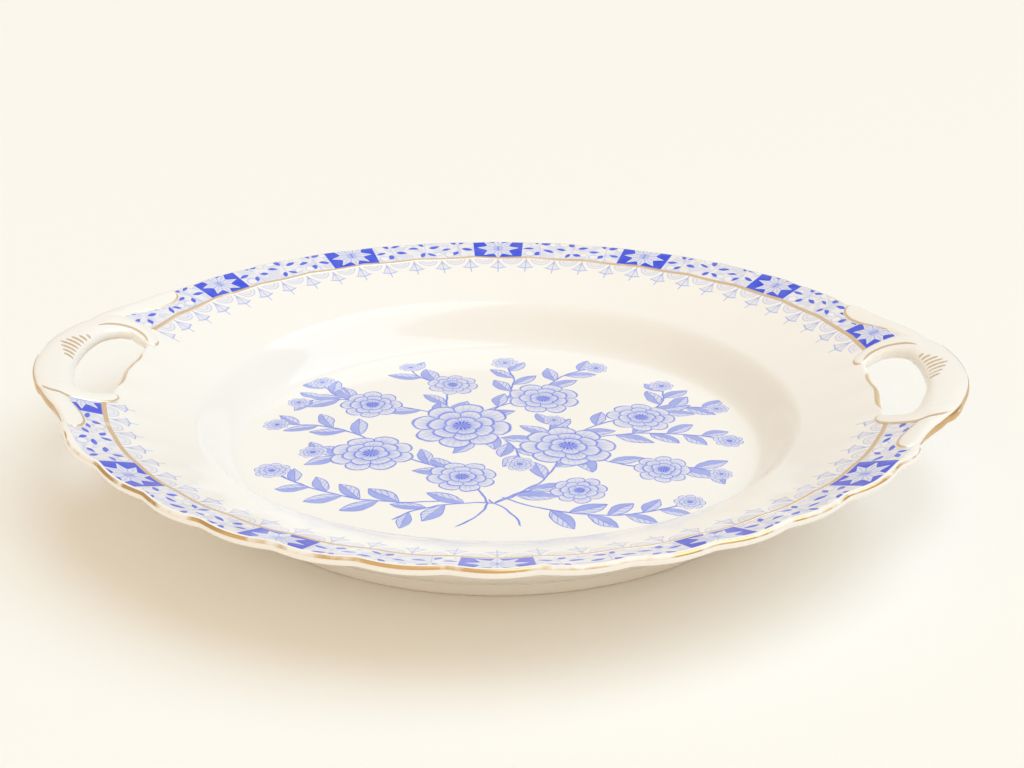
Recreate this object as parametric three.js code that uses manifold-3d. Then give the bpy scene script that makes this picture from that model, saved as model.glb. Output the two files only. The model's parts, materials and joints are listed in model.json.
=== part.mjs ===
// A china dish for cakes: a fluted plate on a foot ring, with a pierced scroll handle at each end and gilded lines.
// Millimetres, +Z up. The origin is the middle of the face that the foot ring stands on, and the handles lie along X.
import * as THREE from 'three';
import { mergeVertices } from 'three/addons/utils/BufferGeometryUtils.js';
import Module from 'manifold-3d';

// Plate
const rimRadius = 130; // to the tip of a rim lobe, gilding included
const rimHeight = 34; // mean height of the rim's edge above the table
const rimSway = 1.3; // the edge lies this much higher at the handles and lower between them
const rimThickness = 4.2;
const lipThickness = 2.8;
const shoulderRadius = 93; // where the rim begins
const shoulderHeight = 21.8;
const shoulderSlope = 0.44; // rise over run where the wall of the well turns into the rim
const edgeSlope = 0.2; // and at the rim's edge
const wellRadius = 80; // flat floor of the well
const wellThickness = 4.5;

// Rim lobes and the flutes behind them
const lobeCount = 36;
const lobeDepth = 1.1;
const lobeTurn = -1.8; // degrees from a handle's middle to the nearest notch between two lobes
const fluteDepth = 0.5;

// Foot ring
const footRadius = 81.2; // to the middle of the face that it stands on
const footWidth = 4.5;
const footHeight = 4;
const footDraft = 1; // the ring is this much wider on each side where it joins the plate

// Handles
const handleReach = 12.8; // from the rim's circle to the outer edge of the loop
const bandWidth = 14; // loop's band at its crown
const bandThickness = 6;
const handleRise = 1.2; // the handle's surface stands this far above the rim
const fingerGapLength = 45; // along the rim
const fingerGapInset = 16.2; // how far the finger gap cuts into the rim
const leafInset = 18; // how far the leaf tips reach in from the rim's circle
const leafWidth = 7;
const lobeArc = 60; // from the handle's middle along the rim to the tip of a side lobe
const lobeWidth = 9;
const lobeInset = 1; // side lobe's middle, in from the rim's circle

// Gilding
const gildThickness = 0.6;
const gildWidth = 2.4;
const borderWidth = 12.3; // from the rim's circle to the gold line inside the printed border
const borderLineWidth = 1.4;

const seatGap = 0.3; // clearance between a piece and the one that it is fixed to
const segments = lobeCount * 4; // round the dish

const wellFloor = footHeight + wellThickness;
const borderLineRadius = rimRadius - borderWidth;
const plateRadius = rimRadius - gildThickness - seatGap; // the bare china edge under the gilding
const stepAngle = (2 * Math.PI) / segments;
const firstAngle = THREE.MathUtils.degToRad(lobeTurn);

const porcelain = new THREE.MeshStandardMaterial({ color: 0xf6f0e6, roughness: 0.12, metalness: 0 });
const bareClay = new THREE.MeshStandardMaterial({ color: 0xe9dfce, roughness: 0.7, metalness: 0 });
const gold = new THREE.MeshStandardMaterial({ color: 0xd6ac63, roughness: 0.28, metalness: 1 });

const wasm = await Module();
wasm.setup();

// Solids for cuts and joins
function toSolid(geometry) {
  const bare = geometry.clone();
  bare.deleteAttribute('normal');
  bare.deleteAttribute('uv');
  const merged = mergeVertices(bare, 1e-4);
  const index = merged.index.array;
  const corners = [];
  for (let i = 0; i < index.length; i += 3) {
    const [a, b, c] = index.subarray(i, i + 3);
    if (a !== b && b !== c && c !== a) corners.push(a, b, c);
  }
  return new wasm.Manifold(new wasm.Mesh({
    numProp: 3,
    vertProperties: merged.attributes.position.array,
    triVerts: Uint32Array.from(corners),
  }));
}

function toGeometry(solid) {
  const mesh = solid.getMesh();
  const geometry = new THREE.BufferGeometry();
  geometry.setAttribute('position', new THREE.BufferAttribute(mesh.vertProperties, 3));
  geometry.setIndex(new THREE.BufferAttribute(mesh.triVerts, 1));
  geometry.computeVertexNormals();
  return geometry;
}

function makeMesh(name, geometry, material) {
  const mesh = new THREE.Mesh(geometry, material);
  mesh.name = name;
  return mesh;
}

// Shape of the plate
function hermite(t, from, to, slopeFrom, slopeTo) {
  const s = 1 - t;
  return from * s * s * (1 + 2 * t) + to * t * t * (3 - 2 * t) + slopeFrom * t * s * s - slopeTo * t * t * s;
}

// Height of the plate's upper face at a radius, before the sway and the flutes.
function topHeight(radius) {
  if (radius <= wellRadius) return wellFloor;
  if (radius <= shoulderRadius) {
    const wall = shoulderRadius - wellRadius;
    return hermite((radius - wellRadius) / wall, wellFloor, shoulderHeight, 0, shoulderSlope * wall);
  }
  const rim = rimRadius - shoulderRadius;
  return hermite((radius - shoulderRadius) / rim, shoulderHeight, rimHeight, shoulderSlope * rim, edgeSlope * rim);
}

function rimShare(radius) {
  return THREE.MathUtils.smoothstep(radius, shoulderRadius, plateRadius);
}

// 0 in the notch between two lobes and 1 at a lobe's tip.
function lobeAt(angle) {
  return Math.abs(Math.sin(((angle - firstAngle) * lobeCount) / 2));
}

function edgeInset(angle) {
  return lobeDepth * (1 - lobeAt(angle));
}

// What the sway and the flutes add to the height at a radius and an angle.
function heightChange(radius, angle) {
  const share = rimShare(radius);
  return share * (rimSway * Math.cos(2 * angle) + fluteDepth * (lobeAt(angle) - 0.5));
}

function surfacePoint(radius, angle, lift = 0) {
  return new THREE.Vector3(
    radius * Math.cos(angle),
    radius * Math.sin(angle),
    topHeight(radius) + heightChange(radius, angle) + lift,
  );
}

// Profile of the plate from the middle of its upper face, round the lip, to the middle of its under face.
function plateProfile() {
  const footEdge = footRadius + footWidth / 2 + footDraft;
  const underShoulder = shoulderRadius + rimThickness + lipThickness;
  const cavettoSteps = 6;
  const points = [[0, wellFloor], [wellRadius, wellFloor]];
  for (let i = 1; i <= cavettoSteps; i++) {
    const radius = wellRadius + ((shoulderRadius - wellRadius) * i) / cavettoSteps;
    points.push([radius, topHeight(radius)]);
  }
  const lipRound = lipThickness / 2;
  for (const share of [0.25, 0.5, 0.75]) {
    const radius = shoulderRadius + (plateRadius - shoulderRadius) * share;
    points.push([radius, topHeight(radius)]);
  }
  const lipHeight = topHeight(plateRadius);
  points.push([plateRadius - lipRound, lipHeight], [plateRadius, lipHeight - lipRound / 2]);
  points.push([plateRadius, lipHeight - lipThickness + lipRound / 2], [plateRadius - lipRound, lipHeight - lipThickness]);
  const underHeight = topHeight(underShoulder) - rimThickness;
  for (let i = cavettoSteps; i > 0; i--) {
    const width = underShoulder - footEdge;
    const share = i / cavettoSteps;
    points.push([footEdge + width * share, hermite(share, footHeight, underHeight, 0, shoulderSlope * width)]);
  }
  points.push([footEdge, footHeight], [0, footHeight]);
  return points.map(([radius, height]) => new THREE.Vector2(radius, height));
}

// Turns a profile about Z, with its first column at the notch nearest to the +X handle.
function turnProfile(points) {
  const geometry = new THREE.LatheGeometry(points, segments);
  geometry.rotateX(Math.PI / 2);
  geometry.rotateZ(Math.PI / 2 + firstAngle);
  return geometry;
}

// Draws the lobes, flutes and sway into a turned plate.
function shapeRim(geometry) {
  const position = geometry.attributes.position;
  for (let i = 0; i < position.count; i++) {
    const x = position.getX(i);
    const y = position.getY(i);
    const radius = Math.hypot(x, y);
    if (radius <= shoulderRadius) continue;
    const angle = Math.atan2(y, x);
    const inset = edgeInset(angle) * rimShare(radius);
    position.setXY(i, (radius - inset) * Math.cos(angle), (radius - inset) * Math.sin(angle));
    position.setZ(i, position.getZ(i) + heightChange(radius, angle));
  }
  return geometry;
}

// Flips a closed surface whose faces point inwards.
function facingOut(geometry) {
  const position = geometry.attributes.position;
  const index = geometry.index.array;
  const [a, b, c] = [new THREE.Vector3(), new THREE.Vector3(), new THREE.Vector3()];
  let volume = 0;
  for (let i = 0; i < index.length; i += 3) {
    a.fromBufferAttribute(position, index[i]);
    b.fromBufferAttribute(position, index[i + 1]);
    c.fromBufferAttribute(position, index[i + 2]);
    volume += a.dot(b.cross(c));
  }
  if (volume < 0) {
    for (let i = 0; i < index.length; i += 3) [index[i], index[i + 1]] = [index[i + 1], index[i]];
  }
  return geometry;
}

// Closed skin over a row of rings that have the same number of points.
function skin(rings) {
  const sides = rings[0].length;
  const positions = rings.flat().flatMap((point) => point.toArray());
  const index = [];
  for (let i = 0; i + 1 < rings.length; i++) {
    for (let j = 0; j < sides; j++) {
      const a = i * sides + j;
      const b = i * sides + ((j + 1) % sides);
      index.push(a, b, a + sides, b, b + sides, a + sides);
    }
  }
  const last = (rings.length - 1) * sides;
  for (let j = 1; j + 1 < sides; j++) {
    index.push(0, j + 1, j);
    index.push(last, last + j, last + j + 1);
  }
  const geometry = new THREE.BufferGeometry();
  geometry.setAttribute('position', new THREE.Float32BufferAttribute(positions, 3));
  geometry.setIndex(index);
  return facingOut(geometry);
}

// Handles
const bandSides = 10;

// The handle's upper face follows the rim's slope to the rim's circle and runs level beyond it.
function handleHeight(x, y) {
  const radius = Math.hypot(x, y);
  const angle = Math.atan2(y, x);
  return topHeight(Math.min(radius, rimRadius)) + rimShare(radius) * rimSway * Math.cos(2 * angle) + handleRise;
}

// A rounded band along stations of [x, y, width, thickness], grown all over by a gap.
function scrollBand(stations, steps, grow) {
  const centre = new THREE.CatmullRomCurve3(stations.map(([x, y]) => new THREE.Vector3(x, y, 0)), false, 'centripetal');
  const sizes = new THREE.CatmullRomCurve3(stations.map(([, , w, t]) => new THREE.Vector3(w, t, 0)), false, 'chordal');
  const rings = [];
  for (let i = 0; i <= steps; i++) {
    const share = i / steps;
    const middle = centre.getPoint(share);
    const along = centre.getTangent(share);
    const size = sizes.getPoint(share);
    const top = handleHeight(middle.x, middle.y);
    const ring = [];
    for (let j = 0; j < bandSides; j++) {
      const turn = (2 * Math.PI * (j + 0.5)) / bandSides;
      const across = (size.x / 2 + grow) * Math.cos(turn);
      const up = (size.y / 2 + grow) * Math.sin(turn);
      ring.push(new THREE.Vector3(middle.x - along.y * across, middle.y + along.x * across, top - size.y / 2 + up));
    }
    rings.push(ring);
  }
  return toSolid(skin(rings));
}

function onRim(arc, inset) {
  const angle = arc / rimRadius;
  return [(rimRadius - inset) * Math.cos(angle), (rimRadius - inset) * Math.sin(angle)];
}

// Half of the loop, from its crown to the leaf tip that lies on the rim.
function loopStations() {
  const crownX = rimRadius + handleReach - bandWidth / 2;
  const halfGap = fingerGapLength / 2;
  const limbY = halfGap + leafWidth / 2;
  return [
    [crownX, 0, bandWidth, bandThickness],
    [crownX - bandWidth * 0.08, halfGap * 0.5, bandWidth, bandThickness],
    [crownX - bandWidth * 0.4, halfGap, bandWidth * 0.96, bandThickness],
    [rimRadius - leafInset / 3, limbY + bandWidth * 0.05, bandWidth * 0.72, bandThickness],
    [rimRadius - (leafInset * 2) / 3, limbY, leafWidth, bandThickness * 0.9],
    [rimRadius - leafInset, limbY - leafWidth * 0.8, leafWidth * 0.3, bandThickness * 0.6],
  ];
}

// Side lobe, from under the loop along the rim's edge to its tip.
function lobeStations() {
  const rootArc = fingerGapLength / 2 - bandWidth * 0.2;
  const rootInset = -handleReach / 2;
  const run = lobeArc - rootArc;
  return [
    [...onRim(rootArc, rootInset), lobeWidth * 0.7, bandThickness * 0.8],
    [...onRim(rootArc + run * 0.28, rootInset * 0.3), lobeWidth, bandThickness * 0.9],
    [...onRim(rootArc + run * 0.6, lobeInset * 0.5), lobeWidth, bandThickness * 0.85],
    [...onRim(rootArc + run * 0.86, lobeInset), lobeWidth * 0.7, bandThickness * 0.75],
    [...onRim(lobeArc, lobeInset * 0.5), lobeWidth * 0.24, bandThickness * 0.6],
  ];
}

const mirrored = (stations) => stations.map(([x, y, ...size]) => [x, -y, ...size]);

// One handle at +X: the loop and its two side lobes, grown all over by a gap.
function handleSolid(grow) {
  const half = loopStations();
  const loop = scrollBand([...mirrored(half).reverse(), ...half.slice(1)], 36, grow);
  const lobe = scrollBand(lobeStations(), 10, grow);
  const otherLobe = scrollBand(mirrored(lobeStations()), 10, grow);
  return loop.add(lobe).add(otherLobe);
}

// What the finger gap takes out of the rim: it ends on both sides under the middle of the loop's limbs.
function fingerGapSolid() {
  const [, , shoulder, bend, limb] = loopStations();
  const halfFlat = fingerGapLength / 2 - leafWidth * 0.3;
  const beyond = rimRadius + handleReach;
  const side = [[rimRadius - fingerGapInset, halfFlat], limb, bend, shoulder, [beyond, shoulder[1]]];
  const outline = new THREE.Shape([
    ...side.map(([x, y]) => new THREE.Vector2(x, y)),
    ...side.map(([x, y]) => new THREE.Vector2(x, -y)).reverse(),
  ]);
  return toSolid(new THREE.ExtrudeGeometry(outline, { depth: 2 * rimHeight, bevelEnabled: false }));
}

const halfTurn = new THREE.Matrix4().makeRotationZ(Math.PI);

function atBothEnds(solid) {
  return [solid, toSolid(toGeometry(solid).applyMatrix4(halfTurn))];
}

// Strips of gilding
function arcAngles(from, to) {
  const first = Math.ceil((from - firstAngle) / stepAngle);
  const last = Math.floor((to - firstAngle) / stepAngle);
  return Array.from({ length: last - first + 1 }, (_, i) => firstAngle + (first + i) * stepAngle);
}

// Band round the rim's edge, outside the bare china.
function edgeGilding(from, to) {
  const rings = arcAngles(from, to).map((angle) => {
    const inner = plateRadius - edgeInset(angle) + seatGap;
    const height = topHeight(plateRadius) + heightChange(plateRadius, angle);
    return [[0, 0], [gildThickness, 0], [gildThickness, -gildWidth], [0, -gildWidth]].map(
      ([out, up]) => new THREE.Vector3((inner + out) * Math.cos(angle), (inner + out) * Math.sin(angle), height + up),
    );
  });
  return skin(rings);
}

// Line laid on the rim inside the border.
function borderLine(from, to) {
  const inner = borderLineRadius - borderLineWidth / 2;
  const outer = borderLineRadius + borderLineWidth / 2;
  const rings = arcAngles(from, to).map((angle) => [
    surfacePoint(inner, angle, seatGap),
    surfacePoint(outer, angle, seatGap),
    surfacePoint(outer, angle, seatGap + gildThickness),
    surfacePoint(inner, angle, seatGap + gildThickness),
  ]);
  return skin(rings);
}

// Line along the loop's outer edge, on its crown between the side lobes.
function handleLine() {
  const half = loopStations().slice(0, 2);
  const stations = [...mirrored(half).reverse(), ...half.slice(1)];
  const centre = new THREE.CatmullRomCurve3(stations.map(([x, y]) => new THREE.Vector3(x, y, 0)), false, 'centripetal');
  const sizes = new THREE.CatmullRomCurve3(stations.map(([, , w, t]) => new THREE.Vector3(w, t, 0)), false, 'chordal');
  const steps = 20;
  const rings = [];
  for (let i = 0; i <= steps; i++) {
    const share = i / steps;
    const middle = centre.getPoint(share);
    const along = centre.getTangent(share);
    const size = sizes.getPoint(share);
    const height = handleHeight(middle.x, middle.y) - size.y / 2;
    const outward = (distance, up) => new THREE.Vector3(
      middle.x + along.y * distance,
      middle.y - along.x * distance,
      height + up,
    );
    const near = size.x / 2 + seatGap;
    const halfWidth = gildWidth / 2;
    rings.push([
      outward(near, -halfWidth),
      outward(near + gildThickness, -halfWidth),
      outward(near + gildThickness, halfWidth),
      outward(near, halfWidth),
    ]);
  }
  return skin(rings);
}

// Line down the rim's side of the finger gap.
function fingerLine() {
  const x = rimRadius - fingerGapInset + seatGap;
  const halfLength = fingerGapLength / 2 - leafWidth;
  const top = topHeight(x) + rimShare(x) * rimSway;
  const geometry = new THREE.BoxGeometry(gildThickness, 2 * halfLength, gildWidth);
  geometry.translate(x + gildThickness / 2, 0, top - gildWidth / 2);
  return geometry;
}

// Plate with its seats for the handles
const handle = handleSolid(0);
const seats = atBothEnds(handleSolid(seatGap).add(fingerGapSolid()));
let plate = toSolid(shapeRim(facingOut(turnProfile(plateProfile()))));
for (const seat of seats) plate = plate.subtract(seat);

// Foot ring: a flat top against the plate and a narrower flat face to stand on
const footInner = footRadius - footWidth / 2;
const footOuter = footRadius + footWidth / 2;
const footProfile = [
  [footInner - footDraft, footHeight],
  [footInner, 0],
  [footOuter, 0],
  [footOuter + footDraft, footHeight],
  [footInner - footDraft, footHeight],
].map(([radius, height]) => new THREE.Vector2(radius, height));

const dish = new THREE.Group();
dish.add(makeMesh('dish_body', toGeometry(plate), porcelain));
dish.add(makeMesh('foot_ring', facingOut(turnProfile(footProfile)), bareClay));

const lobeAngle = (lobeArc + lobeWidth * 0.3) / rimRadius;
const lineAngle = (fingerGapLength / 2 + leafWidth * 1.6) / (rimRadius - fingerGapInset);
for (const [place, from] of [['back', 0], ['front', Math.PI]]) {
  const edge = edgeGilding(from + lobeAngle, from + Math.PI - lobeAngle);
  dish.add(makeMesh(`edge_gilding_${place}`, edge, gold));
  const line = borderLine(from + lineAngle, from + Math.PI - lineAngle);
  dish.add(makeMesh(`border_gold_line_${place}`, line, gold));
}

for (const [place, turn] of [['right', 0], ['left', Math.PI]]) {
  const end = new THREE.Group();
  end.rotation.z = turn;
  end.add(makeMesh(`handle_${place}`, toGeometry(handle), porcelain));
  end.add(makeMesh(`handle_gold_line_${place}`, handleLine(), gold));
  end.add(makeMesh(`finger_gap_gold_line_${place}`, fingerLine(), gold));
  dish.add(end);
}

export default dish;
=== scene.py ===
import json
import math
from math import pi, radians

import bmesh
import bpy
import numpy as np
from mathutils import Matrix, Vector


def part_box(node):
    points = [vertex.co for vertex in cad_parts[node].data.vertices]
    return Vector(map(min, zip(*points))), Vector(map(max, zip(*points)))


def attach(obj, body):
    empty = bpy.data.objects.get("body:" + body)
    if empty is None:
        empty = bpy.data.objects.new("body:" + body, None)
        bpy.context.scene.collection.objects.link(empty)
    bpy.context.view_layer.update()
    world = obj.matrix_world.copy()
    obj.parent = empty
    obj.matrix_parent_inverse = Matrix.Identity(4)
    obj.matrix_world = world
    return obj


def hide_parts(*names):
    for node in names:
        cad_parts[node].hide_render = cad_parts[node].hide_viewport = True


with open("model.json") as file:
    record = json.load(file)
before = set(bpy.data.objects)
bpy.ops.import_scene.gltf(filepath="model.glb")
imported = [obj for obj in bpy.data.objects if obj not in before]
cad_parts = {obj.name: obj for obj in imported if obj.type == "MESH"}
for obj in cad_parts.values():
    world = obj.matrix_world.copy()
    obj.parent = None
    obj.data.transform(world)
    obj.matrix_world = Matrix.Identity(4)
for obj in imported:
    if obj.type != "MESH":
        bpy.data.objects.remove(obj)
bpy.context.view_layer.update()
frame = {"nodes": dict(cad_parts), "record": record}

# Everything below is worked out in millimetres and goes into the meshes in metres.
mm = 0.001
mounts = {mount["name"]: mount for mount in frame["record"]["mounts"]}
floorHeight = mounts["well_floor"]["pos_m"][2] / mm
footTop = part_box("foot_ring")[1].z / mm
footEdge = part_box("foot_ring")[1].x / mm
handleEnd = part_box("handle_right")[1].x / mm
print("frame loaded:", len(frame["nodes"]), "nodes, floor of the well at", round(floorHeight, 2), "mm")


# Numbers and meshes

def hermite(t, start, end, slopeStart, slopeEnd):
    # the cubic from start to end with the given slopes, as t runs from 0 to 1
    s = 1 - t
    ends = start * s * s * (1 + 2 * t) + end * t * t * (3 - 2 * t)
    return ends + slopeStart * t * s * s - slopeEnd * t * t * s


def smoothShare(value, low, high):
    t = np.clip((value - low) / (high - low), 0, 1)
    return t * t * (3 - 2 * t)


def circle(count):
    return np.linspace(0, 2 * pi, count, endpoint=False)


def curveThrough(stations, count):
    # Hermite cubics through the stations by chord length, each tangent from those beside
    stations = np.asarray(stations, float)
    chords = np.linalg.norm(np.diff(stations[:, :2], axis=0), axis=1)
    knots = np.concatenate([[0], np.cumsum(chords)])
    tangents = np.gradient(stations, knots, axis=0)
    run = np.linspace(0, knots[-1], count)
    span = np.clip(np.searchsorted(knots, run, side="right") - 1, 0, len(knots) - 2)
    length = (knots[span + 1] - knots[span])[:, None]
    t = (run - knots[span])[:, None] / length
    first, last = stations[span], stations[span + 1]
    return hermite(t, first, last, tangents[span] * length, tangents[span + 1] * length)


def gridFaces(rows, columns, wrapRows, wrapColumns, first=0):
    # quads between neighbouring rows and columns; a wrapped side joins its last line to its first
    row = np.arange(rows if wrapRows else rows - 1)[:, None]
    column = np.arange(columns if wrapColumns else columns - 1)[None, :]
    nextRow = (row + 1) % rows
    nextColumn = (column + 1) % columns
    corners = [row * columns + column, nextRow * columns + column,
               nextRow * columns + nextColumn, row * columns + nextColumn]
    return first + np.stack(np.broadcast_arrays(*corners), -1).reshape(-1, 4)


def tubeFaces(rows, columns, first=0):
    # quads closed round the columns, and a face over each end
    last = first + (rows - 1) * columns
    ends = [list(range(start, start + columns)) for start in (first, last)]
    return gridFaces(rows, columns, False, True, first).tolist() + ends


def addObject(name, data):
    made = bpy.data.objects.new(name, data)
    bpy.context.scene.collection.objects.link(made)
    return made


def newPiece(name, points, faces, materials, faceMaterial=None, bakeMap=None):
    # points in millimetres; doubles at poles are merged, and the faces are turned outwards
    mesh = bpy.data.meshes.new(name)
    mesh.from_pydata((np.asarray(points, float) * mm).tolist(), [], [list(face) for face in faces])
    for material in materials:
        mesh.materials.append(material)
    if faceMaterial is not None:
        mesh.polygons.foreach_set("material_index", np.asarray(faceMaterial, np.int32))
    if bakeMap is not None:
        mesh.uv_layers.new(name="OFBake").data.foreach_set("uv", np.asarray(bakeMap, np.float32).ravel())
    work = bmesh.new()
    work.from_mesh(mesh)
    bmesh.ops.remove_doubles(work, verts=work.verts, dist=1e-8)
    bmesh.ops.recalc_face_normals(work, faces=work.faces)
    work.to_mesh(mesh)
    work.free()
    mesh.shade_smooth()
    return addObject(name, mesh)


def bakeModifiers(piece):
    # the evaluated mesh takes the place of the mesh and its modifiers
    evaluated = piece.evaluated_get(bpy.context.evaluated_depsgraph_get())
    mesh = bpy.data.meshes.new_from_object(evaluated)
    piece.modifiers.clear()
    piece.data = mesh
    mesh.shade_smooth()


def settle(piece, slot, *nodes):
    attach(piece, "root")
    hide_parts(*nodes)


# Shader values as Python expressions

class Value:
    # wraps a socket; each operator adds one Math node to the same finish
    def __init__(self, finish, socket):
        self.finish = finish
        self.socket = socket

    def do(self, operation, *others):
        return self.finish.math(operation, self, *others)

    def __add__(self, other):
        return self.do("ADD", other)

    def __sub__(self, other):
        return self.do("SUBTRACT", other)

    def __rsub__(self, other):
        return self.finish.math("SUBTRACT", other, self)

    def __mul__(self, other):
        return self.do("MULTIPLY", other)

    def __truediv__(self, other):
        return self.do("DIVIDE", other)

    def __abs__(self):
        return self.do("ABSOLUTE")

    __radd__ = __add__
    __rmul__ = __mul__


class Finish:
    # one material; node() adds any node with its settings and sockets
    def __init__(self, name):
        self.material = bpy.data.materials.new(name)
        self.material.use_nodes = True
        self.tree = self.material.node_tree
        self.tree.nodes.clear()

    def node(self, kind, settings=None, sockets=None, out=0):
        made = self.tree.nodes.new(kind)
        for key, value in (settings or {}).items():
            setattr(made, key, value)
        for key, value in (sockets or {}).items():
            if isinstance(value, Value):
                self.tree.links.new(value.socket, made.inputs[key])
            else:
                made.inputs[key].default_value = value
        return Value(self, made.outputs[out]) if len(made.outputs) else made

    def math(self, operation, *values, clamp=False):
        settings = {"operation": operation, "use_clamp": clamp}
        return self.node("ShaderNodeMath", settings, dict(enumerate(values)))

    def vector(self, operation, *values, out=0):
        return self.node("ShaderNodeVectorMath", {"operation": operation}, dict(enumerate(values)), out)

    def length(self, vector):
        return self.vector("LENGTH", vector, out="Value")

    def join(self, x, y):
        return self.node("ShaderNodeCombineXYZ", sockets={0: x, 1: y})

    def split(self, vector):
        made = self.node("ShaderNodeSeparateXYZ", sockets={0: vector}).socket.node
        return [Value(self, made.outputs[i]) for i in range(2)]

    def place(self, vector, x, y, turn, wide, high):
        # the vector as seen from a mark at x, y, turned by turn, of half size wide by high
        sockets = {"Vector": vector, "Location": (x, y, 0), "Rotation": (0, 0, turn),
                   "Scale": (wide, high, 1)}
        return self.node("ShaderNodeMapping", {"vector_type": "TEXTURE"}, sockets)

    def mixColour(self, share, first, second):
        return self.node("ShaderNodeMix", {"data_type": "RGBA"}, {0: share, 6: first, 7: second}, 2)

    def mixVector(self, share, first, second):
        return self.node("ShaderNodeMix", {"data_type": "VECTOR"}, {0: share, 4: first, 5: second}, 1)

    def mixValue(self, share, first, second):
        return self.node("ShaderNodeMix", {"data_type": "FLOAT"}, {0: share, 2: first, 3: second}, 0)

    def most(self, first, second):
        return self.math("MAXIMUM", first, second)

    def edge(self, depth, soft):
        # 1 inside, 0 outside, with a soft step where depth passes 0
        return self.math("MULTIPLY_ADD", depth, 1 / soft, 0.5, clamp=True)

    def where(self):
        # the place on the piece, in metres
        return self.node("ShaderNodeTexCoord", out="Object")

    def noise(self, scale, detail=2.0, out=0):
        sockets = {"Vector": self.where(), "Scale": scale, "Detail": detail}
        return self.node("ShaderNodeTexNoise", None, sockets, out)

    def surface(self, sockets):
        shader = self.node("ShaderNodeBsdfPrincipled", sockets=sockets)
        self.node("ShaderNodeOutputMaterial", sockets={"Surface": shader})
        return self.material


def colour(red, green, blue):
    # a screen colour of 0 to 255 as linear light
    channels = [c / 255 for c in (red, green, blue)]
    return tuple(c / 12.92 if c <= 0.04045 else ((c + 0.055) / 1.055) ** 2.4 for c in channels) + (1.0,)


# Shape of the plate

plate = {
    "rimRadius": 130.0,  # tip of a rim lobe, gilding included
    "rimHeight": 35.0,
    "rimSway": 1.3,  # the edge lies higher at the handles and lower between them
    "rimThickness": 4.2, "lip": 2.8,
    "shoulderRadius": 93.0, "shoulderHeight": 21.8, "shoulderSlope": 0.44,
    "edgeSlope": 0.3,
    "footSlope": 0.4,  # of the under side where it meets the foot ring
    "wellRadius": 80.0,
    "chinaInset": 0.3,  # bare china edge inside the gilding
    "lobes": 36, "lobeDepth": 1.1, "lobeTurn": radians(-1.8), "lobeSoftness": 0.12,
    "fluteDepth": -0.5,  # a lobe's tip dips below the notches beside it
    "notchX": 114.4,  # rim's edge in the finger gap
    "notchBulge": 1.0, "notchBulgeHalf": 7.0,
    "notchFrom": radians(10.9), "notchTo": radians(13.1),
    "gapLean": {1: -5.2, -1: -3.0},  # of the right and left finger gap and loop; below 0 is to the front
    "flare": 3.0,  # how far the edge stands out beside each handle at the front
    "flareAt": [radians(21), radians(28), radians(47)],  # where it begins, is most and ends
    "columns": 720,
    "rows": {"floor": 8, "wall": 22, "rim": 44, "lip": 12, "underRim": 16, "underWall": 14, "base": 4},
}
edgeOfChina = plate["rimRadius"] - plate["chinaInset"]
underShoulder = plate["shoulderRadius"] + plate["rimThickness"] + plate["lip"]


def topHeight(radius):
    # flat floor, then one cubic up the wall to the shoulder and one along the rim to its edge
    wall = plate["shoulderRadius"] - plate["wellRadius"]
    rim = plate["rimRadius"] - plate["shoulderRadius"]
    slope = plate["shoulderSlope"]
    onWall = np.clip((radius - plate["wellRadius"]) / wall, 0, 1)
    onRim = np.clip((radius - plate["shoulderRadius"]) / rim, 0, 1)
    wallHeight = hermite(onWall, floorHeight, plate["shoulderHeight"], 0, slope * wall)
    slopes = slope * rim, plate["edgeSlope"] * rim
    rimHeight = hermite(onRim, plate["shoulderHeight"], plate["rimHeight"], *slopes)
    return np.where(radius <= plate["shoulderRadius"], wallHeight, rimHeight)


def rimShare(radius):
    return smoothShare(radius, plate["shoulderRadius"], edgeOfChina)


def lobeAt(angle):
    # 0 in the notch between two lobes and 1 at a lobe's tip: a rounded absolute sine
    soft = plate["lobeSoftness"]
    wave = np.sin((angle - plate["lobeTurn"]) * plate["lobes"] / 2)
    return (np.sqrt(wave * wave + soft * soft) - soft) / (math.sqrt(1 + soft * soft) - soft)


def rimChange(radius, angle):
    # what the sway and the flutes add to the height
    flute = plate["fluteDepth"] * (lobeAt(angle) - 0.5)
    return rimShare(radius) * (plate["rimSway"] * np.cos(2 * angle) + flute)


def edgeRadius(angle):
    # lobed circle, flared beside the handles, drawn in to a line with a slight bulge where a finger gap is
    lobed = edgeOfChina - plate["lobeDepth"] * (1 - lobeAt(angle))
    fromHandle = np.arcsin(np.sin(angle))
    start, most, end = plate["flareAt"]
    flare = plate["flare"] * smoothShare(-fromHandle, start, most)
    lobed += flare * (1 - smoothShare(-fromHandle, most, end))
    lean = np.where(np.cos(angle) > 0, plate["gapLean"][1], plate["gapLean"][-1])
    fromGap = plate["notchX"] * np.tan(fromHandle) - lean
    bulge = plate["notchBulge"] * np.exp(-(fromGap / plate["notchBulgeHalf"]) ** 2)
    notch = (plate["notchX"] + bulge) / np.maximum(np.cos(fromHandle), 0.5)
    turn = np.abs(fromHandle - lean / plate["notchX"])
    share = smoothShare(turn, plate["notchFrom"], plate["notchTo"])
    return notch + (lobed - notch) * share


def lipPoints(turn, angle, grow=0.0):
    # half circle round the edge: turn 0 is its top and pi its under side
    half = plate["lip"] / 2
    inner = edgeRadius(angle) - half
    radius = inner + (half + grow) * np.sin(turn)
    height = topHeight(inner) + rimChange(inner, angle) - half + (half + grow) * np.cos(turn)
    return radius, height


def turned(radius, height, angle):
    radius, height, angle = np.broadcast_arrays(radius, height, angle)
    return np.stack([radius * np.cos(angle), radius * np.sin(angle), height], -1)


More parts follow.
